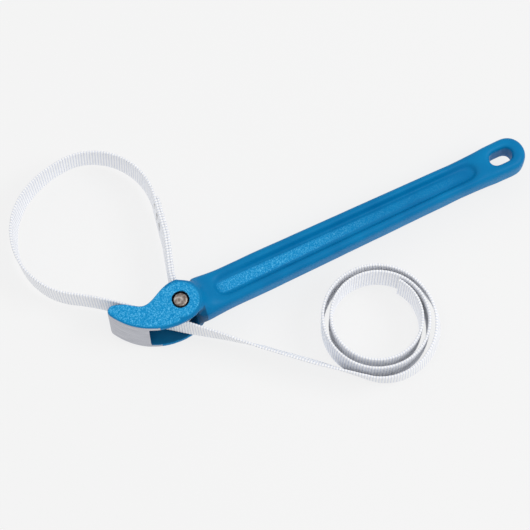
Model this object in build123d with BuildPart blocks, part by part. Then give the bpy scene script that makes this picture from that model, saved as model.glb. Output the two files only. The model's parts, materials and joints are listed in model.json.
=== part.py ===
from build123d import *
import math
import os

os.makedirs("parts", exist_ok=True)

# ---------------------------------------------------------------- driving dimensions (mm)
# Tool frame: origin on the pin axis at mid thickness, X along the handle, Z along the pin.
HEAD_THICK = 38.0
CHEEK_THICK = 4.0
WINDOW_WIDTH = HEAD_THICK - 2 * CHEEK_THICK
EDGE_ROUND = 0.8

PIN_DIA = 9.0
PIN_RECESS_DIA = 11.0
PIN_RECESS_DEPTH = 2.5
PIN_DOME = 0.5

HEAD_RADIUS = 14.0
BELLY_RADIUS = 45.0
BELLY_X = -5.9
NOSE_RADIUS = 4.3
NOSE_ANGLE = 207.5
NOSE_TOP_ANGLE = 75.0
SADDLE_X = -23.2
SADDLE_Y = 6.8
SADDLE_AHEAD = (-12.7, 10.0)
SADDLE_BEHIND = (-33.0, 12.6)
HUMP_ANGLE = 100.0
ROOT_X = 13.0
ROOT_HALF = 14.1
ROOT_FALL_RADIUS = 26.0
ROOT_FALL_ROUND = 12.6
ROOT_FALL_REACH = 45.0
ROOT_FALL_START = -80.0
ROOT_FALL_SWEEP = 160.0
NECK_LOW_ANGLE = -55.0
NECK_LOW_HALF = 8.5
NECK_HIGH_ANGLE = 84.0
NECK_HIGH_HALF = 13.0

HANDLE_END = 253.7
HANDLE_THICK = 18.2
HANDLE_ROUND = 4.0
NECK_START_X = 28.0
NECK_START_HALF = 13.2
NECK_THIN_X = 190.0
NECK_THIN_HALF = 11.0
NECK_RUN = NECK_THIN_X - NECK_START_X
LOBE_RADIUS = 12.0
LOBE_X = HANDLE_END - LOBE_RADIUS

WEB_THICK = 8.4
GROOVE_DRAFT = 20.0
GROOVE_START_X = 24.0
GROOVE_END_X = 218.0
GROOVE_HALF_START = 7.5
GROOVE_HALF_END = 6.4
PAD_RISE = 1.1
PAD_HALF = 3.3
PAD_START_X = 23.0
PAD_END_X = 212.0

SLOT_X = 236.5
SLOT_LENGTH = 16.6
SLOT_WIDTH = 9.6
SLOT_ROUND = 2.4

STRAP_WIDTH = 27.0
STRAP_THICK = 2.1
EYE_CLEAR = 0.05
EYE_CLOSE = 1.5
EYE_CLOSE_RADIUS = 0.1
SHANK_ANGLE = 13.0
SHANK_JOIN = 17.0
SHANK_END = 76.0
SHOULDER_RADIUS = 41.5
CROWN_RADIUS = 71.0
CROWN_TURN = 28.3
LOOP_RADIUS = 46.0
LEAVE_ANGLE = 238.0
RUN_ANGLE = -43.0
RUN_X = -20.0
RUN_Y = 3.0
SEAM_X = -45.0
COIL_X = 109.5
COIL_BOTTOM_Y = -106.0
COIL_RADII = (38.2, 35.2, 32.8, 30.0)
COIL_LAST_RADIUS = 29.0
COIL_LAST_ARC = 124.0

THREAD_DIA = 0.8
STITCH_ROWS = 3
STITCH_ROW_PITCH = 7.0
STITCH_COUNT = 8
STITCH_PITCH = 3.0
STITCH_CENTRE = 65.0


def polar(cx, cy, radius, angle):
    """Point at an angle in degrees on a circle."""
    x = cx + radius * math.cos(math.radians(angle))
    y = cy + radius * math.sin(math.radians(angle))
    return (x, y)


def heading(angle):
    """Unit direction for a heading in degrees."""
    return (math.cos(math.radians(angle)), math.sin(math.radians(angle)))


# ---------------------------------------------------------------- derived positions
shank_dir = heading(90 - SHANK_ANGLE)
shank_side = heading(-SHANK_ANGLE)
inner_x = shank_dir[0] * SHANK_END - shank_side[0] * STRAP_THICK / 2
inner_y = shank_dir[1] * SHANK_END - shank_side[1] * STRAP_THICK / 2
shoulder_x = inner_x - SHOULDER_RADIUS * math.cos(math.radians(SHANK_ANGLE))
shoulder_y = inner_y + SHOULDER_RADIUS * math.sin(math.radians(SHANK_ANGLE))
crown_y = shoulder_y + SHOULDER_RADIUS - CROWN_RADIUS
LOOP_X, LOOP_Y = polar(shoulder_x, crown_y, CROWN_RADIUS - LOOP_RADIUS, 90 + CROWN_TURN)

LEFT = LOOP_X - LOOP_RADIUS - STRAP_THICK / 2
TOP = shoulder_y + SHOULDER_RADIUS + STRAP_THICK / 2
BOTTOM = COIL_BOTTOM_Y - STRAP_THICK / 2
PIN_X = -(LEFT + HANDLE_END) / 2
PIN_Y = -(TOP + BOTTOM) / 2
HEAD_HALF = HEAD_THICK / 2
HANDLE_HALF = HANDLE_THICK / 2
TOOL = Plane(origin=(PIN_X, PIN_Y, HEAD_HALF))
PIN_AXIS = Axis((PIN_X, PIN_Y, 0), (0, 0, 1))

belly_y = math.sqrt((BELLY_RADIUS - HEAD_RADIUS) ** 2 - BELLY_X ** 2)
belly_angle = math.degrees(math.atan2(-belly_y, -BELLY_X))
nose_x, nose_y = polar(BELLY_X, belly_y, BELLY_RADIUS - NOSE_RADIUS, NOSE_ANGLE)

# ---------------------------------------------------------------- strap route
# Shank leaves the pin, its inner layer bends over the top of the loop, follows the loop circle,
# bends back into the head window and runs straight out to the coil.
# The straight run is a line; the lead is the arc touching both that line and the loop circle.
run_dir = heading(RUN_ANGLE)
run_normal = heading(RUN_ANGLE + 90)
loop_offset = (LOOP_X - RUN_X) * run_normal[0] + (LOOP_Y - RUN_Y) * run_normal[1]
lead_turn = LEAVE_ANGLE - (RUN_ANGLE + 270)
lead_cos = math.cos(math.radians(lead_turn))
lead_radius = (LOOP_RADIUS * lead_cos - loop_offset) / (1 - lead_cos)
lead_cx, lead_cy = polar(LOOP_X, LOOP_Y, LOOP_RADIUS + lead_radius, LEAVE_ANGLE)
lead_end = (lead_cx + lead_radius * run_normal[0], lead_cy + lead_radius * run_normal[1])
seam_angle = math.degrees(math.acos((SEAM_X - lead_cx) / lead_radius))
lead_start_angle = LEAVE_ANGLE - 180

# The coil opens with an arc touching the run and reaching the lowest point of the coil.
coil_drop = (COIL_X - RUN_X) * run_normal[0] + (COIL_BOTTOM_Y - RUN_Y) * run_normal[1]
entry_radius = coil_drop / (1 - run_normal[1])
entry_cy = COIL_BOTTOM_Y + entry_radius
entry_start = polar(COIL_X, entry_cy, entry_radius, RUN_ANGLE - 90)

# ---------------------------------------------------------------- handle casting
with BuildPart() as handle:
    with BuildSketch(TOOL) as bar_outline:
        with BuildLine():
            Line((0, HEAD_RADIUS), (ROOT_X, ROOT_HALF))
            Spline(
                (ROOT_X, ROOT_HALF),
                (NECK_START_X, NECK_START_HALF),
                tangents=[(1, 0), (NECK_RUN, NECK_THIN_HALF - NECK_START_HALF)],
            )
            Line((NECK_START_X, NECK_START_HALF), (NECK_THIN_X, NECK_THIN_HALF))
            Spline(
                (NECK_THIN_X, NECK_THIN_HALF),
                (LOBE_X, LOBE_RADIUS),
                tangents=[(NECK_RUN, NECK_THIN_HALF - NECK_START_HALF), (1, 0)],
            )
            CenterArc((LOBE_X, 0), LOBE_RADIUS, 0, 90)
            mirror(about=Plane.XZ)
            Line((0, -HEAD_RADIUS), (0, HEAD_RADIUS))
        make_face()
    extrude(amount=HANDLE_HALF, both=True)
    bar_rims = handle.faces().filter_by(Axis.Z).edges().sort_by(Axis.X)[2:]
    fillet(bar_rims, HANDLE_ROUND)

    # head block, full thickness
    with BuildSketch(TOOL) as head_outline:
        with BuildLine():
            hump = polar(0, 0, HEAD_RADIUS, HUMP_ANGLE)
            nose_top = polar(nose_x, nose_y, NOSE_RADIUS, NOSE_TOP_ANGLE)
            neck_low = polar(0, 0, HEAD_RADIUS, NECK_LOW_ANGLE)
            neck_high = polar(0, 0, HEAD_RADIUS, NECK_HIGH_ANGLE)
            CenterArc((nose_x, nose_y), NOSE_RADIUS, NOSE_TOP_ANGLE, NOSE_ANGLE - NOSE_TOP_ANGLE)
            CenterArc((BELLY_X, belly_y), BELLY_RADIUS, NOSE_ANGLE, belly_angle + 360 - NOSE_ANGLE)
            CenterArc((0, 0), HEAD_RADIUS, belly_angle, NECK_LOW_ANGLE - belly_angle)
            Line(neck_low, (ROOT_FALL_RADIUS, -NECK_LOW_HALF))
            Line((ROOT_FALL_RADIUS, -NECK_LOW_HALF), (ROOT_FALL_RADIUS, NECK_HIGH_HALF))
            Line((ROOT_FALL_RADIUS, NECK_HIGH_HALF), neck_high)
            CenterArc((0, 0), HEAD_RADIUS, NECK_HIGH_ANGLE, HUMP_ANGLE - NECK_HIGH_ANGLE)
            Spline(
                hump,
                SADDLE_AHEAD,
                (SADDLE_X, SADDLE_Y),
                SADDLE_BEHIND,
                nose_top,
                tangents=[heading(HUMP_ANGLE + 90), heading(NOSE_TOP_ANGLE + 90)],
            )
        make_face()
    extrude(amount=HEAD_HALF, both=True)
    cheek_faces = handle.faces().filter_by(Axis.Z).sort_by(Axis.Z)
    head_rims = cheek_faces[0].edges() + cheek_faces[-1].edges()
    head_rims = head_rims.filter_by(lambda e: e.center().X < PIN_X + HEAD_RADIUS)
    fillet(head_rims, EDGE_ROUND)

    # both faces fall away from the round head to the handle thickness
    fall_start = heading(ROOT_FALL_START)
    fall_plane = Plane(
        origin=(PIN_X, PIN_Y, HEAD_HALF),
        x_dir=(fall_start[0], fall_start[1], 0),
        z_dir=(fall_start[1], -fall_start[0], 0),
    )
    with BuildSketch(fall_plane) as fall:
        with BuildLine():
            RadiusArc(
                (HEAD_RADIUS, HEAD_HALF),
                (ROOT_FALL_RADIUS + 0.5, HANDLE_HALF),
                -ROOT_FALL_ROUND,
            )
            Polyline(
                (ROOT_FALL_RADIUS + 0.5, HANDLE_HALF),
                (ROOT_FALL_REACH, HANDLE_HALF),
                (ROOT_FALL_REACH, HEAD_THICK),
                (HEAD_RADIUS, HEAD_THICK),
                (HEAD_RADIUS, HEAD_HALF),
            )
        make_face()
        mirror(about=Plane.XZ)
    revolve(axis=PIN_AXIS, revolution_arc=ROOT_FALL_SWEEP, mode=Mode.SUBTRACT)

    # window between the cheeks, open above and below
    with BuildSketch(TOOL) as window:
        with BuildLine():
            Polyline(
                (-27.0, -30.0),
                (-26.4, -10.3),
                (-30.0, 9.5),
                (-30.3, 24.0),
                (12.0, 24.0),
                (10.4, 0.0),
                (8.6, -5.6),
                (6.0, -9.8),
                (9.9, -13.9),
                (9.9, -30.0),
                close=True,
            )
        make_face()
    extrude(amount=WINDOW_WIDTH / 2, both=True, mode=Mode.SUBTRACT)

    # pin hole with a shallow recess at each end
    with BuildSketch(TOOL) as pin_hole:
        Circle(PIN_DIA / 2)
    extrude(amount=HEAD_HALF + 1, both=True, mode=Mode.SUBTRACT)
    with BuildSketch(TOOL.offset(HEAD_HALF)) as recess_near:
        Circle(PIN_RECESS_DIA / 2)
    extrude(amount=-PIN_RECESS_DEPTH, mode=Mode.SUBTRACT)
    with BuildSketch(TOOL.offset(-HEAD_HALF)) as recess_far:
        Circle(PIN_RECESS_DIA / 2)
    extrude(amount=PIN_RECESS_DEPTH, mode=Mode.SUBTRACT)

    # grooves that leave the I section, on both faces
    with BuildSketch(TOOL.offset(HANDLE_HALF), TOOL.offset(-HANDLE_HALF).rotated((180, 0, 0))) as grooves:
        with BuildLine():
            groove_arc_start = CenterArc(
                (GROOVE_START_X + GROOVE_HALF_START, 0), GROOVE_HALF_START, 90, 180
            )
            groove_arc_end = CenterArc(
                (GROOVE_END_X - GROOVE_HALF_END, 0), GROOVE_HALF_END, -90, 180
            )
            Line(groove_arc_start @ 0, groove_arc_end @ 1)
            Line(groove_arc_start @ 1, groove_arc_end @ 0)
        make_face()
    extrude(
        amount=-(HANDLE_HALF - WEB_THICK / 2),
        taper=GROOVE_DRAFT,
        mode=Mode.SUBTRACT,
    )

    # low centre pad on the web
    with BuildSketch(TOOL) as pad:
        with Locations(((PAD_START_X + PAD_END_X) / 2, 0)):
            SlotOverall(PAD_END_X - PAD_START_X, 2 * PAD_HALF)
    extrude(amount=WEB_THICK / 2 + PAD_RISE, both=True)

    # hanging slot with rounded rims
    with BuildSketch(TOOL) as hang:
        with Locations((SLOT_X, 0)):
            SlotOverall(SLOT_LENGTH, SLOT_WIDTH)
    extrude(amount=HANDLE_THICK, both=True, mode=Mode.SUBTRACT)
    slot_edges = handle.edges().filter_by_position(
        Axis.X, PIN_X + SLOT_X - SLOT_LENGTH / 2 - 1, PIN_X + SLOT_X + SLOT_LENGTH / 2 + 1
    )
    slot_edges = slot_edges.filter_by_position(
        Axis.Y, PIN_Y - SLOT_WIDTH / 2 - 0.5, PIN_Y + SLOT_WIDTH / 2 + 0.5
    )
    slot_rims = slot_edges.group_by(Axis.Z)[0] + slot_edges.group_by(Axis.Z)[-1]
    fillet(slot_rims, SLOT_ROUND)
handle.part.label = "handle"
export_step(handle.part, "parts/handle.step")

# ---------------------------------------------------------------- pin
with BuildPart() as strap_pin:
    with BuildSketch(TOOL) as pin_section:
        Circle(PIN_DIA / 2)
    extrude(amount=HEAD_HALF, both=True)
    chamfer(strap_pin.edges(), PIN_DOME)
strap_pin.part.label = "strap_pin"
export_step(strap_pin.part, "parts/strap_pin.step")

# ---------------------------------------------------------------- strap eye and doubled shank
SHANK = Plane(
    origin=(PIN_X, PIN_Y, HEAD_HALF),
    x_dir=(shank_dir[0], shank_dir[1], 0),
    z_dir=(shank_side[0], shank_side[1], 0),
)
eye_inner = PIN_DIA / 2 + EYE_CLEAR
eye_outer = eye_inner + STRAP_THICK
EYE = TOOL.rotated((0, 0, 90 - SHANK_ANGLE))
with BuildPart() as strap_eye:
    with BuildSketch(EYE) as eye_body:
        Circle(eye_outer)
        with Locations((SHANK_JOIN, 0)):
            Circle(STRAP_THICK)
        make_hull()
        with Locations(((SHANK_JOIN + SHANK_END) / 2, 0)):
            Rectangle(SHANK_END - SHANK_JOIN, 2 * STRAP_THICK)
    extrude(amount=STRAP_WIDTH / 2, both=True)
    with BuildSketch(EYE) as eye_hollow:
        Circle(eye_inner)
        with Locations((SHANK_JOIN - EYE_CLOSE, 0)):
            Circle(EYE_CLOSE_RADIUS)
        make_hull()
    extrude(amount=STRAP_WIDTH, both=True, mode=Mode.SUBTRACT)
    with BuildSketch(SHANK) as stitch_holes:
        with Locations((STITCH_CENTRE, 0)):
            with GridLocations(STITCH_ROW_PITCH, STITCH_PITCH, STITCH_ROWS, STITCH_COUNT):
                Circle(THREAD_DIA / 2)
    extrude(amount=2 * STRAP_THICK, both=True, mode=Mode.SUBTRACT)
strap_eye.part.label = "strap_eye"
export_step(strap_eye.part, "parts/strap_eye.step")

# ---------------------------------------------------------------- stitching through the doubled shank
row_length = STITCH_PITCH * (STITCH_COUNT - 1) + THREAD_DIA
with BuildPart() as eye_stitching:
    with BuildSketch(SHANK) as stitch_legs:
        with Locations((STITCH_CENTRE, 0)):
            with GridLocations(STITCH_ROW_PITCH, STITCH_PITCH, STITCH_ROWS, STITCH_COUNT):
                Circle(THREAD_DIA / 2)
    extrude(amount=STRAP_THICK, both=True)
    with BuildSketch(SHANK.offset(STRAP_THICK)) as stitch_outer:
        with Locations((STITCH_CENTRE, 0)):
            with GridLocations(STITCH_ROW_PITCH, STITCH_PITCH, STITCH_ROWS, 1):
                SlotOverall(row_length, THREAD_DIA, rotation=90)
    extrude(amount=THREAD_DIA / 2)
    with BuildSketch(SHANK.offset(-STRAP_THICK)) as stitch_inner:
        with Locations((STITCH_CENTRE, 0)):
            with GridLocations(STITCH_ROW_PITCH, STITCH_PITCH, STITCH_ROWS, 1):
                SlotOverall(row_length, THREAD_DIA, rotation=90)
    extrude(amount=-THREAD_DIA / 2)
eye_stitching.part.label = "eye_stitching"
export_step(eye_stitching.part, "parts/eye_stitching.step")

# ---------------------------------------------------------------- strap loop
with BuildPart() as strap_loop:
    with BuildSketch(TOOL) as loop_band:
        with BuildLine() as loop_line:
            CenterArc((shoulder_x, shoulder_y), SHOULDER_RADIUS, -SHANK_ANGLE, 90 + SHANK_ANGLE)
            CenterArc((shoulder_x, crown_y), CROWN_RADIUS, 90, CROWN_TURN)
            CenterArc((LOOP_X, LOOP_Y), LOOP_RADIUS, 90 + CROWN_TURN, LEAVE_ANGLE - 90 - CROWN_TURN)
            CenterArc((lead_cx, lead_cy), lead_radius, lead_start_angle, seam_angle - lead_start_angle)
        trace(line_width=STRAP_THICK)
    extrude(amount=STRAP_WIDTH / 2, both=True)
strap_loop.part.label = "strap_loop"
export_step(strap_loop.part, "parts/strap_loop.step")

# ---------------------------------------------------------------- lead into the head
with BuildPart() as strap_lead:
    with BuildSketch(TOOL) as lead_band:
        with BuildLine() as lead_line:
            CenterArc((lead_cx, lead_cy), lead_radius, seam_angle, RUN_ANGLE + 90 - seam_angle)
            Line(lead_end, (RUN_X, RUN_Y))
        trace(line_width=STRAP_THICK)
    extrude(amount=STRAP_WIDTH / 2, both=True)
strap_lead.part.label = "strap_lead"
export_step(strap_lead.part, "parts/strap_lead.step")

# ---------------------------------------------------------------- tail
with BuildPart() as strap_tail:
    with BuildSketch(TOOL) as tail_band:
        with BuildLine() as tail_line:
            Line((RUN_X, RUN_Y), entry_start)
        trace(line_width=STRAP_THICK)
    extrude(amount=STRAP_WIDTH / 2, both=True)
strap_tail.part.label = "strap_tail"
export_step(strap_tail.part, "parts/strap_tail.step")

# ---------------------------------------------------------------- coil
coil_top_y = COIL_BOTTOM_Y + 2 * COIL_RADII[0]
coil_second_y = coil_top_y - 2 * COIL_RADII[1]
coil_third_y = coil_second_y + 2 * COIL_RADII[2]
coil_fourth_y = coil_third_y - 2 * COIL_RADII[3]
with BuildPart() as strap_coil:
    with BuildSketch(TOOL) as coil_band:
        with BuildLine() as coil_line:
            CenterArc((COIL_X, entry_cy), entry_radius, RUN_ANGLE - 90, -RUN_ANGLE)
            CenterArc((COIL_X, COIL_BOTTOM_Y + COIL_RADII[0]), COIL_RADII[0], -90, 180)
            CenterArc((COIL_X, coil_top_y - COIL_RADII[1]), COIL_RADII[1], 90, 180)
            CenterArc((COIL_X, coil_second_y + COIL_RADII[2]), COIL_RADII[2], -90, 180)
            CenterArc((COIL_X, coil_third_y - COIL_RADII[3]), COIL_RADII[3], 90, 180)
            CenterArc((COIL_X, coil_fourth_y + COIL_LAST_RADIUS), COIL_LAST_RADIUS, -90, COIL_LAST_ARC)
        trace(line_width=STRAP_THICK)
    extrude(amount=STRAP_WIDTH / 2, both=True)
strap_coil.part.label = "strap_coil"
export_step(strap_coil.part, "parts/strap_coil.step")

strap_route = (loop_line, lead_line, tail_line, coil_line)
route_length = sum(edge.length for route in strap_route for edge in route.line.edges())
strap_length = route_length + 2 * SHANK_END
print("strap length about", round(strap_length))
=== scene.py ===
"""Strap wrench: casting, pin, one length of webbing in three stretches, and the sewing."""

import json
import math

import bmesh
import bpy
import numpy as np
from mathutils import Matrix, Vector, noise

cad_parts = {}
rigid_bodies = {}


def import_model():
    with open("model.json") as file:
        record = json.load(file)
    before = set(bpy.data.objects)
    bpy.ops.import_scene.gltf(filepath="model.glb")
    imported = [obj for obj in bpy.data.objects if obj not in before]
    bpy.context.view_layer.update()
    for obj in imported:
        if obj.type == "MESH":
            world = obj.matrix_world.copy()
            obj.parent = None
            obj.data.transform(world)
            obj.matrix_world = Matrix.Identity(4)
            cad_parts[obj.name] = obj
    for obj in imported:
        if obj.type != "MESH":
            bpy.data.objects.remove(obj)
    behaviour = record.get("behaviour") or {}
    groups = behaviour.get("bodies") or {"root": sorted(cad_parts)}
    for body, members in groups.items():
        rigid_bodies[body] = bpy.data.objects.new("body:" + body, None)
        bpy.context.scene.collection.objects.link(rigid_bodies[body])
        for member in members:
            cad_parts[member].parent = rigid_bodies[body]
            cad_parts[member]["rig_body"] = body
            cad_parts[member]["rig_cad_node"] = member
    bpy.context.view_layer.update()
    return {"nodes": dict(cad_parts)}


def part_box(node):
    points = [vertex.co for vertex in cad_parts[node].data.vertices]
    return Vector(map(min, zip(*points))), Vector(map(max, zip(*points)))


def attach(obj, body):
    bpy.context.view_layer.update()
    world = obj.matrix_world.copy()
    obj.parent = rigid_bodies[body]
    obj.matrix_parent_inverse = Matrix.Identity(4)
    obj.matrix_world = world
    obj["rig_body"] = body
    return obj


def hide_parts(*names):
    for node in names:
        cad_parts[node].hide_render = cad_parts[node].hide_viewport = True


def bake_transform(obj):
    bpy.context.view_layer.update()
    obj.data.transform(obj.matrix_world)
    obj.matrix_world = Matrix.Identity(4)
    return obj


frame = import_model()

MM = 0.001

# ---- the tool frame: origin on the pin axis at mid thickness, X along the handle (mm)
pin_low, pin_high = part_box("strap_pin")
PIN = np.array((pin_low + pin_high) / 2) / MM
HEAD_HALF = (pin_high.z - pin_low.z) / 2 / MM

# ---- strap (mm), the same route as the CAD pieces
STRAP_HALF_WIDTH = 13.5
STRAP_HALF_THICK = 1.03
EYE_RADIUS = 5.62
SHANK_ANGLE = 13.0
SHANK_END = 76.0
SHANK_JOIN = 17.0
SHOULDER_RADIUS = 41.5
CROWN_RADIUS = 71.0
CROWN_TURN = 28.3
LOOP_RADIUS = 46.0
LEAVE_ANGLE = 238.0
RUN_ANGLE = -43.0
RUN_X = -20.0
RUN_Y = 3.0
SEAM_X = -45.0
COIL_X = 109.5
COIL_BOTTOM = -106.0
COIL_RADII = (38.2, 35.2, 32.8, 30.0)
COIL_LAST_RADIUS = 29.0
COIL_LAST_ARC = 124.0
RIB_PITCH = 1.9
RIB_HEIGHT = 0.17
SECTIONS_PER_RIB = 6
FACE_POINTS = 15
LAYER_CONTACT = 1.06
LAYER_OFFSET = 1.05
EYE_JOIN_BACK = 1.5
PATH_STEP = 0.25
SELVEDGE_IN = 0.3
SELVEDGE_THIN = 0.65
FRAY_RIB = 0.22
FRAY_WANDER = 0.10
SLACK = 0.06


def heading(angle):
    """Unit direction for a heading in degrees."""
    return np.array([math.cos(math.radians(angle)), math.sin(math.radians(angle))])


def line(a, b):
    """Points from a to b, about PATH_STEP apart."""
    a, b = np.array(a, float), np.array(b, float)
    count = max(2, int(np.linalg.norm(b - a) / PATH_STEP))
    return [a + (b - a) * t for t in np.linspace(0, 1, count)]


def arc(centre, radius, start, sweep):
    """Points along a circular arc, about PATH_STEP apart."""
    count = max(2, int(abs(math.radians(sweep)) * radius / PATH_STEP))
    return [np.array(centre) + radius * heading(start + sweep * t) for t in np.linspace(0, 1, count)]


def resample(points, step):
    """The same path with its points evenly spaced, and the distance along it."""
    pts = np.array(points)
    gaps = np.linalg.norm(np.diff(pts, axis=0), axis=1)
    keep = np.concatenate([[True], gaps > 1e-6])
    pts = pts[keep]
    dist = np.concatenate([[0], np.cumsum(np.linalg.norm(np.diff(pts, axis=0), axis=1))])
    count = max(2, int(round(dist[-1] / step)) + 1)
    even = np.linspace(0, dist[-1], count)
    return np.stack([np.interp(even, dist, pts[:, 0]), np.interp(even, dist, pts[:, 1])], axis=1), even


# ---- route of the webbing
up = heading(90 - SHANK_ANGLE)
side = heading(-SHANK_ANGLE)
outer_top = up * SHANK_END + side * LAYER_OFFSET
inner_top = up * SHANK_END - side * LAYER_OFFSET
outer_join = up * SHANK_JOIN + side * LAYER_OFFSET
inner_join = up * SHANK_JOIN - side * LAYER_OFFSET
eye_gap = math.degrees(math.acos((EYE_RADIUS - LAYER_OFFSET) / (SHANK_JOIN - EYE_JOIN_BACK)))
eye_start = 90 - SHANK_ANGLE - eye_gap
eye_sweep = -(360 - 2 * eye_gap)
eye_route = line(outer_top, outer_join)
eye_route += line(outer_join, EYE_RADIUS * heading(eye_start))[1:]
eye_route += arc((0, 0), EYE_RADIUS, eye_start, eye_sweep)
eye_route += line(EYE_RADIUS * heading(90 - SHANK_ANGLE + eye_gap), inner_join)
eye_route += line(inner_join, inner_top)

shoulder = inner_top - SHOULDER_RADIUS * side
crown = shoulder + np.array([0, SHOULDER_RADIUS - CROWN_RADIUS])
loop_centre = crown + (CROWN_RADIUS - LOOP_RADIUS) * heading(90 + CROWN_TURN)
run_normal = heading(RUN_ANGLE + 90)
run_point = np.array([RUN_X, RUN_Y])
loop_offset = (loop_centre - run_point) @ run_normal
lead_cos = math.cos(math.radians(LEAVE_ANGLE - (RUN_ANGLE + 270)))
lead_radius = (LOOP_RADIUS * lead_cos - loop_offset) / (1 - lead_cos)
lead_centre = loop_centre + (LOOP_RADIUS + lead_radius) * heading(LEAVE_ANGLE)
seam_angle = math.degrees(math.acos((SEAM_X - lead_centre[0]) / lead_radius))
lead_end = lead_centre + lead_radius * run_normal
loop_route = arc(shoulder, SHOULDER_RADIUS, -SHANK_ANGLE, 90 + SHANK_ANGLE)
loop_route += arc(crown, CROWN_RADIUS, 90, CROWN_TURN)
loop_route += arc(loop_centre, LOOP_RADIUS, 90 + CROWN_TURN, LEAVE_ANGLE - 90 - CROWN_TURN)
lead_start = LEAVE_ANGLE - 180
loop_route += arc(lead_centre, lead_radius, lead_start, seam_angle - lead_start)
lead_route = arc(lead_centre, lead_radius, seam_angle, RUN_ANGLE + 90 - seam_angle)
lead_route += line(lead_end, run_point)

drop = (np.array([COIL_X, COIL_BOTTOM]) - run_point) @ run_normal
entry_radius = drop / (1 - run_normal[1])
entry_centre = np.array([COIL_X, COIL_BOTTOM + entry_radius])
entry_start = entry_centre - entry_radius * run_normal
tail_route = line(run_point, entry_start)
coil_route = arc(entry_centre, entry_radius, RUN_ANGLE - 90, -RUN_ANGLE)
level = COIL_BOTTOM
for turn, radius in enumerate(COIL_RADII):
    rising = turn % 2 == 0
    centre_y = level + radius if rising else level - radius
    coil_route += arc((COIL_X, centre_y), radius, -90 if rising else 90, 180)
    level = centre_y + radius if rising else centre_y - radius
coil_route += arc((COIL_X, level + COIL_LAST_RADIUS), COIL_LAST_RADIUS, -90, COIL_LAST_ARC)

# How far each edge of the webbing stands off the route, near edge then far edge (mm), at stations
# along it: the band hangs a little out of square away from the pin and the head.
length_of = {}
for label, route in (("eye", eye_route), ("loop", loop_route), ("lead", lead_route),
                     ("tail", tail_route), ("coil", coil_route)):
    length_of[label] = resample(route, 1.0)[1][-1]
at_eye_end = length_of["eye"]
at_seam = at_eye_end + length_of["loop"]
at_run = at_seam + length_of["lead"]
at_coil = at_run + length_of["tail"]
at_end = at_coil + length_of["coil"]
LEAN = [
    (0.0, (0.0, -0.1), (-1.2, 0.5)),
    (0.16 * at_eye_end, (1.2, -0.2), (-0.8, 0.3)),
    (0.32 * at_eye_end, (-1.6, 0.2), (-2.4, 0.4)),
    (0.43 * at_eye_end, (0.0, 0.0), (0.0, 0.0)),
    (0.57 * at_eye_end, (0.0, 0.0), (0.0, 0.0)),
    (0.68 * at_eye_end, (-1.6, 0.2), (-2.4, 0.4)),
    (0.84 * at_eye_end, (1.2, -0.2), (-0.8, 0.3)),
    (at_eye_end, (0.0, -0.1), (-1.2, 0.5)),
    (at_eye_end + 0.30 * length_of["loop"], (0.0, 0.4), (0.0, 3.0)),
    (at_eye_end + 0.62 * length_of["loop"], (-0.6, 0.0), (1.6, 1.2)),
    (at_eye_end + 0.85 * length_of["loop"], (-0.4, -0.4), (0.6, 0.8)),
    (at_seam, (-0.4, -0.5), (0.6, 0.8)),
    (at_run, (0.3, 0.3), (-0.7, -0.8)),
    (at_run + 27, (-0.3, -0.3), (0.8, 0.9)),
    (at_run + 50, (-0.9, -1.1), (2.6, 3.0)),
    (at_run + 75, (-2.0, -2.5), (3.9, 4.7)),
    (at_run + 112, (-2.2, -2.8), (4.0, 4.9)),
    (at_coil + 20, (-0.4, -0.5), (2.0, 2.6)),
    (at_coil + 95, (-1.2, 0.8), (4.2, -1.4)),
    (at_coil + 150, (0.0, 0.0), (1.2, 0.6)),
    (at_coil + 215, (0.6, 0.2), (0.8, 1.4)),
    (at_coil + 320, (0.8, 0.2), (1.0, 0.4)),
    (at_end, (0.6, 0.2), (0.6, 0.4)),
]
lean_at = np.array([row[0] for row in LEAN])
lean_near = np.array([row[1] for row in LEAN])
lean_far = np.array([row[2] for row in LEAN])


def to_row(x, y, z):
    """A tool-frame point in mm as a row-frame point in metres."""
    return ((PIN[0] + x) * MM, (PIN[1] + y) * MM, (PIN[2] + z) * MM)


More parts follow.
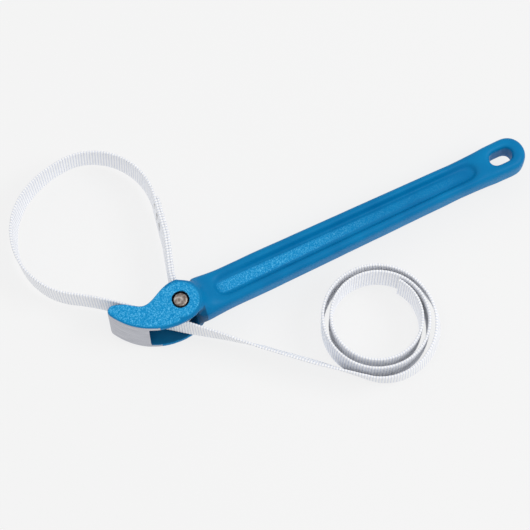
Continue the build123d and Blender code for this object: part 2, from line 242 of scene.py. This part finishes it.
def webbing(name, route, start):
    """A ribbed band of webbing along the route, starting that far along the whole strap."""
    pts, dist = resample(route, RIB_PITCH / SECTIONS_PER_RIB)
    along = start + dist
    tangent = np.gradient(pts, axis=0)
    tangent /= np.linalg.norm(tangent, axis=1)[:, None]
    normal = np.stack([-tangent[:, 1], tangent[:, 0]], axis=1)
    near = np.stack([np.interp(along, lean_at, lean_near[:, i]) for i in (0, 1)], axis=1)
    far = np.stack([np.interp(along, lean_at, lean_far[:, i]) for i in (0, 1)], axis=1)
    phase = along / RIB_PITCH * math.pi
    rib = np.abs(np.sin(phase)) ** 0.7
    across = np.linspace(-1, 1, FACE_POINTS)
    across = np.sign(across) * (1 - (1 - np.abs(across)) ** 1.5)
    ring = [(v, 1) for v in across] + [(v, -1) for v in across[::-1]]
    mesh = bpy.data.meshes.new(name)
    verts, weave = [], []
    for i, (x, y) in enumerate(pts):
        doubled = along[i] < at_eye_end
        fray = FRAY_RIB * rib[i] + FRAY_WANDER * noise.noise((along[i] * 0.45, 3.0, 0.0))
        for v, face in ring:
            edge = (1 - min(1.0, abs(v)) ** 16) ** 0.5 * (1 - SELVEDGE_THIN) + SELVEDGE_THIN
            slack = SLACK * noise.noise((along[i] * 0.12, v * 2.0, face * 5.0))
            half = STRAP_HALF_THICK * edge - RIB_HEIGHT * (1 - rib[i]) + slack - SLACK
            if doubled and face < 0:
                half = LAYER_CONTACT
            mix = (v + 1) / 2
            off = near[i] * mix + far[i] * (1 - mix)
            px = x + off[0] + normal[i][0] * face * half
            py = y + off[1] + normal[i][1] * face * half
            verts.append(to_row(px, py, v * (STRAP_HALF_WIDTH - SELVEDGE_IN + fray)))
            weave.append((along[i] / RIB_PITCH, v * STRAP_HALF_WIDTH, face))
    count = len(ring)
    faces = []
    for i in range(len(pts) - 1):
        for k in range(count):
            a, b = i * count + k, i * count + (k + 1) % count
            faces.append((a, b, b + count, a + count))
    faces.append(tuple(range(count - 1, -1, -1)))
    last = (len(pts) - 1) * count
    faces.append(tuple(range(last, last + count)))
    mesh.from_pydata(verts, [], faces)
    mesh.update()
    attribute = mesh.attributes.new("weave", "FLOAT_VECTOR", "POINT")
    attribute.data.foreach_set("vector", np.array(weave, np.float32).ravel())
    bm = bmesh.new()
    bm.from_mesh(mesh)
    bmesh.ops.recalc_face_normals(bm, faces=bm.faces)
    bm.to_mesh(mesh)
    bm.free()
    mesh.shade_smooth()
    obj = bpy.data.objects.new(name, mesh)
    bpy.context.scene.collection.objects.link(obj)
    return obj


# ---------------------------------------------------------------- materials
def material(name):
    """A new node material, its Principled shader, and a helper that adds and links nodes."""
    mat = bpy.data.materials.new(name)
    mat.use_nodes = True
    tree = mat.node_tree
    shader = tree.nodes["Principled BSDF"]

    def add(kind, settings=None, **links):
        node = tree.nodes.new(kind)
        for key, value in (settings or {}).items():
            if isinstance(key, int) or key in node.inputs:
                node.inputs[key].default_value = value
            else:
                setattr(node, key, value)
        for key, source in links.items():
            socket = node.inputs[int(key[1:])] if key[0] == "i" and key[1:].isdigit() else node.inputs[key]
            tree.links.new(source, socket)
        return node

    return mat, tree, shader, add


def ramp(add, source, stops):
    """A colour ramp over the source with (position, colour) stops."""
    node = add("ShaderNodeValToRGB", i0=source)
    node.color_ramp.elements[0].position = stops[0][0]
    node.color_ramp.elements[0].color = (*stops[0][1], 1)
    node.color_ramp.elements[1].position = stops[-1][0]
    node.color_ramp.elements[1].color = (*stops[-1][1], 1)
    for position, colour in stops[1:-1]:
        element = node.color_ramp.elements.new(position)
        element.color = (*colour, 1)
    return node.outputs["Color"]


def casting_material():
    """Blue paint over a cast skin, with bare ground metal, and painted shade in the hollows where the mesh
    says so.
    """
    mat, tree, shader, add = material("casting")
    place = add("ShaderNodeTexCoord").outputs["Object"]
    grain = add("ShaderNodeTexNoise", {"Scale": 1250.0, "Detail": 4.0, "Roughness": 0.6}, Vector=place)
    speck = add("ShaderNodeTexNoise", {"Scale": 1500.0, "Detail": 2.0}, Vector=place)
    patch = add("ShaderNodeTexNoise", {"Scale": 45.0, "Detail": 3.0}, Vector=place)
    rough_area = add("ShaderNodeAttribute", {"attribute_name": "cast"}).outputs["Fac"]
    bare = add("ShaderNodeAttribute", {"attribute_name": "bare"}).outputs["Fac"]
    painted_shade_fac = add("ShaderNodeAttribute", {"attribute_name": "recess"}).outputs["Fac"]
    smooth_blue = ramp(add, patch.outputs["Fac"], [
        (0.30, (0.0005, 0.165, 0.400)),
        (0.70, (0.001, 0.210, 0.470)),
    ])
    cast_blue = ramp(add, grain.outputs["Fac"], [
        (0.34, (0.001, 0.215, 0.520)),
        (0.50, (0.006, 0.290, 0.620)),
        (0.66, (0.120, 0.540, 0.880)),
    ])
    blue = add("ShaderNodeMix", {"data_type": "RGBA"}, i0=rough_area, i6=smooth_blue, i7=cast_blue)
    stretch = add("ShaderNodeMapping", {"Scale": (60.0, 60.0, 2600.0)}, Vector=place)
    grind = add("ShaderNodeTexNoise", {"Scale": 1.0, "Detail": 5.0}, Vector=stretch.outputs[0])
    metal = ramp(add, grind.outputs["Fac"], [
        (0.25, (0.30, 0.31, 0.35)),
        (0.55, (0.52, 0.53, 0.58)),
        (0.80, (0.74, 0.74, 0.76)),
    ])
    painted = add("ShaderNodeMix", {"data_type": "RGBA"}, i0=bare, i6=blue.outputs[2], i7=metal)
    # Painted shade: near black mixed in over the pin's counterbore ring, and at half strength over the
    # cavity walls inside the head.
    in_shade = {"data_type": "RGBA", 7: (0.003, 0.006, 0.012, 1)}
    shaded = add("ShaderNodeMix", in_shade, i0=painted_shade_fac, i6=painted.outputs[2])
    tree.links.new(shaded.outputs[2], shader.inputs["Base Color"])
    shader.inputs["Specular IOR Level"].default_value = 0.10
    metallic = add("ShaderNodeMath", {"operation": "MULTIPLY", 1: 0.75}, i0=bare)
    tree.links.new(metallic.outputs[0], shader.inputs["Metallic"])
    spread = add("ShaderNodeMapRange", {"To Min": 0.34, "To Max": 0.52}, Value=speck.outputs["Fac"])
    tree.links.new(spread.outputs[0], shader.inputs["Roughness"])
    height = add("ShaderNodeMath", {"operation": "MULTIPLY"}, i0=grain.outputs["Fac"], i1=rough_area)
    bump = add("ShaderNodeBump", {"Strength": 0.3, "Distance": 0.0003}, Height=height.outputs[0])
    tree.links.new(bump.outputs[0], shader.inputs["Normal"])
    return mat


def steel_material():
    """Turned steel of the pin's end, lightly mottled."""
    mat, tree, shader, add = material("pin_steel")
    place = add("ShaderNodeTexCoord").outputs["Object"]
    mottle = add("ShaderNodeTexNoise", {"Scale": 420.0, "Detail": 4.0}, Vector=place)
    colour = ramp(add, mottle.outputs["Fac"], [
        (0.34, (0.12, 0.085, 0.075)),
        (0.52, (0.30, 0.25, 0.22)),
        (0.70, (0.60, 0.56, 0.52)),
    ])
    tree.links.new(colour, shader.inputs["Base Color"])
    shader.inputs["Metallic"].default_value = 0.6
    wear = add("ShaderNodeMapRange", {"To Min": 0.32, "To Max": 0.55}, Value=mottle.outputs["Fac"])
    tree.links.new(wear.outputs[0], shader.inputs["Roughness"])
    bump = add("ShaderNodeBump", {"Strength": 0.35, "Distance": 0.0002}, Height=mottle.outputs["Fac"])
    tree.links.new(bump.outputs[0], shader.inputs["Normal"])
    return mat


def webbing_material():
    """White woven webbing: cross ribs with fine yarns, and painted shade, a lavender grey, in the grooves
    between them.
    """
    mat, tree, shader, add = material("webbing")
    weave = add("ShaderNodeAttribute", {"attribute_name": "weave"}).outputs["Vector"]
    parts = add("ShaderNodeSeparateXYZ", i0=weave)
    rib_wave = add("ShaderNodeMath", {"operation": "MULTIPLY", 1: math.pi}, i0=parts.outputs[0])
    rib_sine = add("ShaderNodeMath", {"operation": "SINE"}, i0=rib_wave.outputs[0])
    rib = add("ShaderNodeMath", {"operation": "ABSOLUTE"}, i0=rib_sine.outputs[0])
    yarn_wave = add("ShaderNodeMath", {"operation": "MULTIPLY", 1: 5.2}, i0=parts.outputs[1])
    yarn_shift = add("ShaderNodeMath", {"operation": "ADD"}, i0=yarn_wave.outputs[0], i1=rib_wave.outputs[0])
    yarn_sine = add("ShaderNodeMath", {"operation": "SINE"}, i0=yarn_shift.outputs[0])
    yarn = add("ShaderNodeMath", {"operation": "ABSOLUTE"}, i0=yarn_sine.outputs[0])
    fuzz = add("ShaderNodeTexNoise", {"Scale": 2.6, "Detail": 4.0}, Vector=weave)
    ribbed = add("ShaderNodeMath", {"operation": "MULTIPLY", 1: 0.75}, i0=rib.outputs[0])
    add_yarn = {"operation": "MULTIPLY_ADD", 1: 0.12}
    yarns = add("ShaderNodeMath", add_yarn, i0=yarn.outputs[0], i2=ribbed.outputs[0])
    add_fuzz = {"operation": "MULTIPLY_ADD", 1: 0.30}
    height = add("ShaderNodeMath", add_fuzz, i0=fuzz.outputs["Fac"], i2=yarns.outputs[0])
    # Painted shade: the low parts of the weave get a darker lavender grey, and the rib tops are near white.
    shade = ramp(add, height.outputs[0], [
        (0.30, (0.68, 0.72, 0.82)),
        (0.62, (0.87, 0.89, 0.95)),
        (0.95, (0.98, 0.98, 0.98)),
    ])
    tree.links.new(shade, shader.inputs["Base Color"])
    shader.inputs["Roughness"].default_value = 0.78
    shader.inputs["Sheen Weight"].default_value = 0.25
    bump = add("ShaderNodeBump", {"Strength": 0.35, "Distance": 0.0003}, Height=height.outputs[0])
    tree.links.new(bump.outputs[0], shader.inputs["Normal"])
    return mat


def thread_material():
    """Twisted white sewing thread."""
    mat, tree, shader, add = material("thread")
    place = add("ShaderNodeTexCoord").outputs["Object"]
    winding = {"Scale": 900.0, "Distortion": 1.5, "bands_direction": "DIAGONAL"}
    twist = add("ShaderNodeTexWave", winding, Vector=place)
    shade = ramp(add, twist.outputs["Fac"], [(0.1, (0.55, 0.55, 0.54)), (0.8, (0.84, 0.84, 0.82))])
    tree.links.new(shade, shader.inputs["Base Color"])
    shader.inputs["Roughness"].default_value = 0.7
    bump = add("ShaderNodeBump", {"Strength": 0.5, "Distance": 0.0001}, Height=twist.outputs["Fac"])
    tree.links.new(bump.outputs[0], shader.inputs["Normal"])
    return mat


CASTING = casting_material()
STEEL = steel_material()
WEBBING = webbing_material()
THREAD = thread_material()

# ---------------------------------------------------------------- casting
VOXEL = 0.0006
SKIN_ROUNDS = 5
ZONE_ROUNDS = 100
ROOT_ANGLES = (-30, -12, 62, 78)
ROOT_FADE = (34, 60)
END_ZONE = (185, 205, 222, 228)
casting = frame["nodes"]["handle"].copy()
casting.data = casting.data.copy()
casting.name = "casting"
casting.parent = None
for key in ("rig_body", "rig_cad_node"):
    if key in casting:
        del casting[key]
bpy.context.scene.collection.objects.link(casting)
weld = casting.modifiers.new("weld", "WELD")
weld.merge_threshold = 0.00001
remesh = casting.modifiers.new("remesh", "REMESH")
remesh.mode = "VOXEL"
remesh.voxel_size = VOXEL
soften = casting.modifiers.new("soften", "SMOOTH")
soften.factor = 0.5
soften.iterations = SKIN_ROUNDS
bpy.context.view_layer.update()
graph = bpy.context.evaluated_depsgraph_get()
casting_mesh = bpy.data.meshes.new_from_object(casting.evaluated_get(graph))
casting.modifiers.clear()
casting.data = casting_mesh


def relax(mesh, weight, rounds):
    """Smooths the mesh where the weight is above nought, as a fettled casting is."""
    edges = np.zeros(len(mesh.edges) * 2, np.int64)
    mesh.edges.foreach_get("vertices", edges)
    edges = edges.reshape(-1, 2)
    pos = np.zeros(len(mesh.vertices) * 3)
    mesh.vertices.foreach_get("co", pos)
    pos = pos.reshape(-1, 3)
    degree = np.bincount(edges.ravel(), minlength=len(pos))[:, None]
    for _ in range(rounds):
        total = np.zeros_like(pos)
        for a, b in ((0, 1), (1, 0)):
            for axis in range(3):
                total[:, axis] += np.bincount(edges[:, a], pos[edges[:, b], axis], len(pos))
        pos += (total / degree - pos) * 0.5 * weight[:, None]
    mesh.vertices.foreach_set("co", pos.ravel())
    mesh.update()


def ramp_up(values, low, high):
    """0 below low, 1 above high, smooth between."""
    t = np.clip((values - low) / (high - low), 0, 1)
    return t * t * (3 - 2 * t)


start_co = np.zeros(len(casting_mesh.vertices) * 3)
casting_mesh.vertices.foreach_get("co", start_co)
start = start_co.reshape(-1, 3) / MM - PIN
from_pin = np.hypot(start[:, 0], start[:, 1])
ahead = ramp_up(start[:, 0], 6.0, 12.0)
bearing = np.degrees(np.arctan2(start[:, 1], start[:, 0]))
blended = ramp_up(bearing, *ROOT_ANGLES[:2]) * (1 - ramp_up(bearing, *ROOT_ANGLES[2:]))
blended *= ramp_up(from_pin, 9.5, 13.0)
root_zone = ramp_up(from_pin, 14.5, 17.5) * ahead
root_zone = np.maximum(root_zone, blended) * (1 - ramp_up(start[:, 0], *ROOT_FADE) * 0.72)
end_zone = ramp_up(start[:, 0], *END_ZONE[:2]) * (1 - ramp_up(start[:, 0], *END_ZONE[2:]) * 0.7)
relax(casting_mesh, np.maximum(root_zone, end_zone * 0.9), ZONE_ROUNDS)

# Which parts of the casting carry the cast skin, the bare metal and the painted shade in the hollows. The
# skin is finely dimpled; the whole casting waves faintly.
NOSE_METAL_END = -20.2
BELLY_CENTRE = (-5.9, 30.43)
BELLY_SKIN = (42.8, 44.2)
BELLY_METAL = 43.9
DISC_SKIN = (11.4, 12.9)
HEAD_SKIN_DEPTH = 0.9
PAD_HALF_START = 4.4
PAD_HALF_DROP = 1.6
CAVITY_HALF = 15.2
CAVITY_SHADE = 0.5
RECESS_RADIUS = 5.75
FLAT = 0.8
FINE_HEIGHT = 0.035
BROAD_HEIGHT = 0.05
count = len(casting_mesh.vertices)
co = np.zeros(count * 3)
casting_mesh.vertices.foreach_get("co", co)
co = co.reshape(-1, 3)
nor = np.zeros(count * 3)
casting_mesh.vertex_normals.foreach_get("vector", nor)
nor = nor.reshape(-1, 3)
tool = co / MM - PIN
flat_up = np.abs(nor[:, 2]) > FLAT
ahead_x, across_y, depth = tool[:, 0], tool[:, 1], np.abs(tool[:, 2])
belly = np.hypot(ahead_x - BELLY_CENTRE[0], across_y - BELLY_CENTRE[1])
reach = np.hypot(ahead_x, across_y)
rim_ahead = 1 - ramp_up(reach, *DISC_SKIN) * (ahead_x > -6)
rim_below = 1 - ramp_up(belly, *BELLY_SKIN) * (ahead_x < 4)
on_head = flat_up & (depth > HEAD_HALF - HEAD_SKIN_DEPTH) & (reach < 60)
on_head = on_head * rim_ahead * rim_below
pad_half = PAD_HALF_START - PAD_HALF_DROP * ramp_up(ahead_x, 30, 200)
on_pad = flat_up * (1 - ramp_up(np.abs(across_y), pad_half - 1.2, pad_half))
# The pad's lighter speckled skin fades out between 60 and 170 mm along, so the pad turns darker and plainer
# away from the head.
on_pad = on_pad * ramp_up(ahead_x, 22, 34) * (1 - 0.82 * ramp_up(ahead_x, 60, 170))
on_pad = on_pad * (1 - ramp_up(ahead_x, 195, 212)) * (depth < 14)
skin = np.maximum(on_head, on_pad)
outer_side = (belly > BELLY_METAL) & (across_y < 14)
tip = (ahead_x < -43.0) & (across_y < 15.2)
side_wall = np.abs(nor[:, 2]) < 0.62
bare = (side_wall & (outer_side | tip) & (ahead_x < NOSE_METAL_END)).astype(float)
# Painted shade masks: the cavity walls inside the head, and the ring of the pin's counterbore around its
# end.
inner = (depth < CAVITY_HALF) & (ahead_x < 12.6) & (ahead_x > -40) & (bare < 0.5)
recess = (reach < RECESS_RADIUS) & (depth > HEAD_HALF - 3) & (depth < HEAD_HALF - 0.15)
recess = np.maximum(recess.astype(float), inner * CAVITY_SHADE)
for i in range(count):
    x, y, z = tool[i]
    fine = noise.noise(Vector((x * 1.6, y * 1.6, z * 1.6))) * FINE_HEIGHT * skin[i]
    broad = noise.noise(Vector((x * 0.12, y * 0.12, z * 0.12))) * BROAD_HEIGHT
    co[i] += nor[i] * (fine + broad) * MM * (1 - recess[i])
casting_mesh.vertices.foreach_set("co", co.ravel())
for label, values in (("cast", skin), ("bare", bare), ("recess", recess)):
    attribute = casting_mesh.attributes.new(label, "FLOAT", "POINT")
    attribute.data.foreach_set("value", values.astype(np.float32))
casting_mesh.update()
casting_mesh.shade_smooth()
casting_mesh.materials.clear()
casting_mesh.materials.append(CASTING)
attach(casting, "handle")
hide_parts("handle")


# ---------------------------------------------------------------- pin
def turned(name, profile, steps=64):
    """A solid turned about the pin axis from (radius, height) points in mm."""
    bm = bmesh.new()
    rings = []
    for radius, height in profile:
        if radius < 1e-6:
            rings.append([bm.verts.new(to_row(0, 0, height))])
            continue
        rings.append([
            bm.verts.new(to_row(*(radius * heading(360 * k / steps)), height)) for k in range(steps)
        ])
    for low, high in zip(rings, rings[1:]):
        for k in range(steps):
            a = low[k % len(low)]
            b = low[(k + 1) % len(low)]
            c = high[(k + 1) % len(high)]
            d = high[k % len(high)]
            bm.faces.new(list(dict.fromkeys((a, b, c, d))))
    bmesh.ops.recalc_face_normals(bm, faces=bm.faces)
    mesh = bpy.data.meshes.new(name)
    bm.to_mesh(mesh)
    bm.free()
    mesh.shade_smooth()
    obj = bpy.data.objects.new(name, mesh)
    bpy.context.scene.collection.objects.link(obj)
    return obj


PIN_RADIUS = 4.5
DOME_FOOT = HEAD_HALF - 0.9
DOME_RISE = 0.85
dome = [
    (PIN_RADIUS * math.sin(t), DOME_FOOT + DOME_RISE * math.cos(t))
    for t in np.linspace(0.0, math.pi / 2, 14)
]
pin_profile = dome + [(r, -h) for r, h in reversed(dome)]
pin = turned("strap_pin_turned", pin_profile)
pin.data.materials.append(STEEL)
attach(pin, "handle")
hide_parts("strap_pin")

# ---------------------------------------------------------------- webbing pieces
upper = webbing("webbing_loop", eye_route + loop_route, 0.0)
upper.data.materials.append(WEBBING)
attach(upper, "strap_eye")
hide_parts("strap_eye", "strap_loop")

lead = webbing("webbing_lead", lead_route, at_seam)
lead.data.materials.append(WEBBING)
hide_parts("strap_lead")
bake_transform(lead)

lower = webbing("webbing_tail", tail_route + coil_route, at_run)
lower.data.materials.append(WEBBING)
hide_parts("strap_tail", "strap_coil")
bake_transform(lower)


# ---------------------------------------------------------------- stitching across the doubled shank
STITCH_ROWS = (58.0, 65.0, 72.0)
STITCH_PITCH = 3.0
STITCH_SPAN = 10.5
STITCH_LIFT = 2.02
STITCH_ARCH = 0.30
STITCH_GAP = 0.5
THREAD_RADIUS = 0.32
THREAD_SIDES = 8


def stitches():
    """Short arched stitches on both faces of the doubled shank, in rows across it."""
    bm = bmesh.new()
    for row in STITCH_ROWS:
        for face in (1, -1):
            for z in np.arange(-STITCH_SPAN, STITCH_SPAN - 0.1, STITCH_PITCH):
                rings = []
                for t in np.linspace(0, 1, 7):
                    lift = STITCH_LIFT + STITCH_ARCH * math.sin(math.pi * t)
                    mid = up * row + side * (face * lift)
                    zz = z + STITCH_GAP / 2 + (STITCH_PITCH - STITCH_GAP) * t
                    ring = []
                    for k in range(THREAD_SIDES):
                        turn = 2 * math.pi * k / THREAD_SIDES
                        spot = mid + up * (THREAD_RADIUS * math.cos(turn))
                        spot = spot + side * (THREAD_RADIUS * math.sin(turn))
                        ring.append(bm.verts.new(to_row(*spot, zz)))
                    rings.append(ring)
                for low, high in zip(rings, rings[1:]):
                    for k in range(THREAD_SIDES):
                        after = (k + 1) % THREAD_SIDES
                        bm.faces.new((low[k], low[after], high[after], high[k]))
                bm.faces.new(rings[0][::-1])
                bm.faces.new(rings[-1])
    bmesh.ops.recalc_face_normals(bm, faces=bm.faces)
    mesh = bpy.data.meshes.new("eye_stitches")
    bm.to_mesh(mesh)
    bm.free()
    mesh.shade_smooth()
    obj = bpy.data.objects.new("eye_stitches", mesh)
    bpy.context.scene.collection.objects.link(obj)
    return obj


sewing = stitches()
sewing.data.materials.append(THREAD)
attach(sewing, "strap_eye")
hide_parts("eye_stitching")

# ---------------------------------------------------------------- floor, light, camera
floor_mesh = bpy.data.meshes.new("floor")
FLOOR_HALF = 6.0
floor_corners = [(FLOOR_HALF * x, FLOOR_HALF * y, 0) for x, y in ((-1, -1), (1, -1), (1, 1), (-1, 1))]
floor_mesh.from_pydata(floor_corners, [], [(0, 1, 2, 3)])
floor = bpy.data.objects.new("floor", floor_mesh)
bpy.context.scene.collection.objects.link(floor)
# The floor mostly glows, so that the object throws almost no shadow on it.
floor_mat, _, floor_shader, _ = material("floor_pale")
floor_shader.inputs["Base Color"].default_value = (0.12, 0.12, 0.12, 1)
floor_shader.inputs["Roughness"].default_value = 1.0
floor_shader.inputs["Specular IOR Level"].default_value = 0.0
floor_shader.inputs["Emission Color"].default_value = (1.0, 1.0, 1.0, 1)
floor_shader.inputs["Emission Strength"].default_value = 0.79
floor_mesh.materials.append(floor_mat)

world = bpy.data.worlds.new("studio")
bpy.context.scene.world = world
bpy.context.scene.view_settings.view_transform = "Standard"
world.use_nodes = True
background = world.node_tree.nodes["Background"]
background.inputs["Color"].default_value = (1, 1, 1, 1)
background.inputs["Strength"].default_value = 0.62


def area_light(name, place, size, power):
    """A soft square light aimed at the middle of the object."""
    data = bpy.data.lights.new(name, "AREA")
    data.size = size
    data.energy = power
    obj = bpy.data.objects.new(name, data)
    obj.location = place
    obj.rotation_euler = (-Vector(place)).to_track_quat("-Z", "Y").to_euler()
    bpy.context.scene.collection.objects.link(obj)


area_light("key", (0.85, -0.55, 1.25), 0.7, 10.0)
area_light("fill", (-0.6, 0.7, 1.1), 1.2, 3.0)

# Camera: 20 degrees off straight down, the handle rising 26.3 degrees to the right in the picture.
TILT = 20.0
HANDLE_RISE = 26.3
CAMERA_DISTANCE = 1416.3
PIN_IN_VIEW = (-54.55, -30.41)
FOCAL_MM = 146.04
across_view = np.array([*heading(-HANDLE_RISE), 0.0])
up_plane = np.array([*heading(90 - HANDLE_RISE), 0.0])
tilt_sin, tilt_cos = math.sin(math.radians(TILT)), math.cos(math.radians(TILT))
look = up_plane * tilt_sin - np.array([0, 0, tilt_cos])
target = PIN - across_view * PIN_IN_VIEW[0] - up_plane * PIN_IN_VIEW[1]
camera_data = bpy.data.cameras.new("camera")
camera_data.lens = FOCAL_MM
camera_data.sensor_width = 36.0
camera_data.clip_end = 20.0
camera = bpy.data.objects.new("camera", camera_data)
view_up = np.cross(across_view, look)
turn_matrix = Matrix([list(across_view), list(view_up), list(-look)]).transposed()
camera_place = Matrix.Translation(Vector((target - look * CAMERA_DISTANCE) * MM))
camera.matrix_world = camera_place @ turn_matrix.to_4x4()
bpy.context.scene.collection.objects.link(camera)
bpy.context.scene.camera = camera
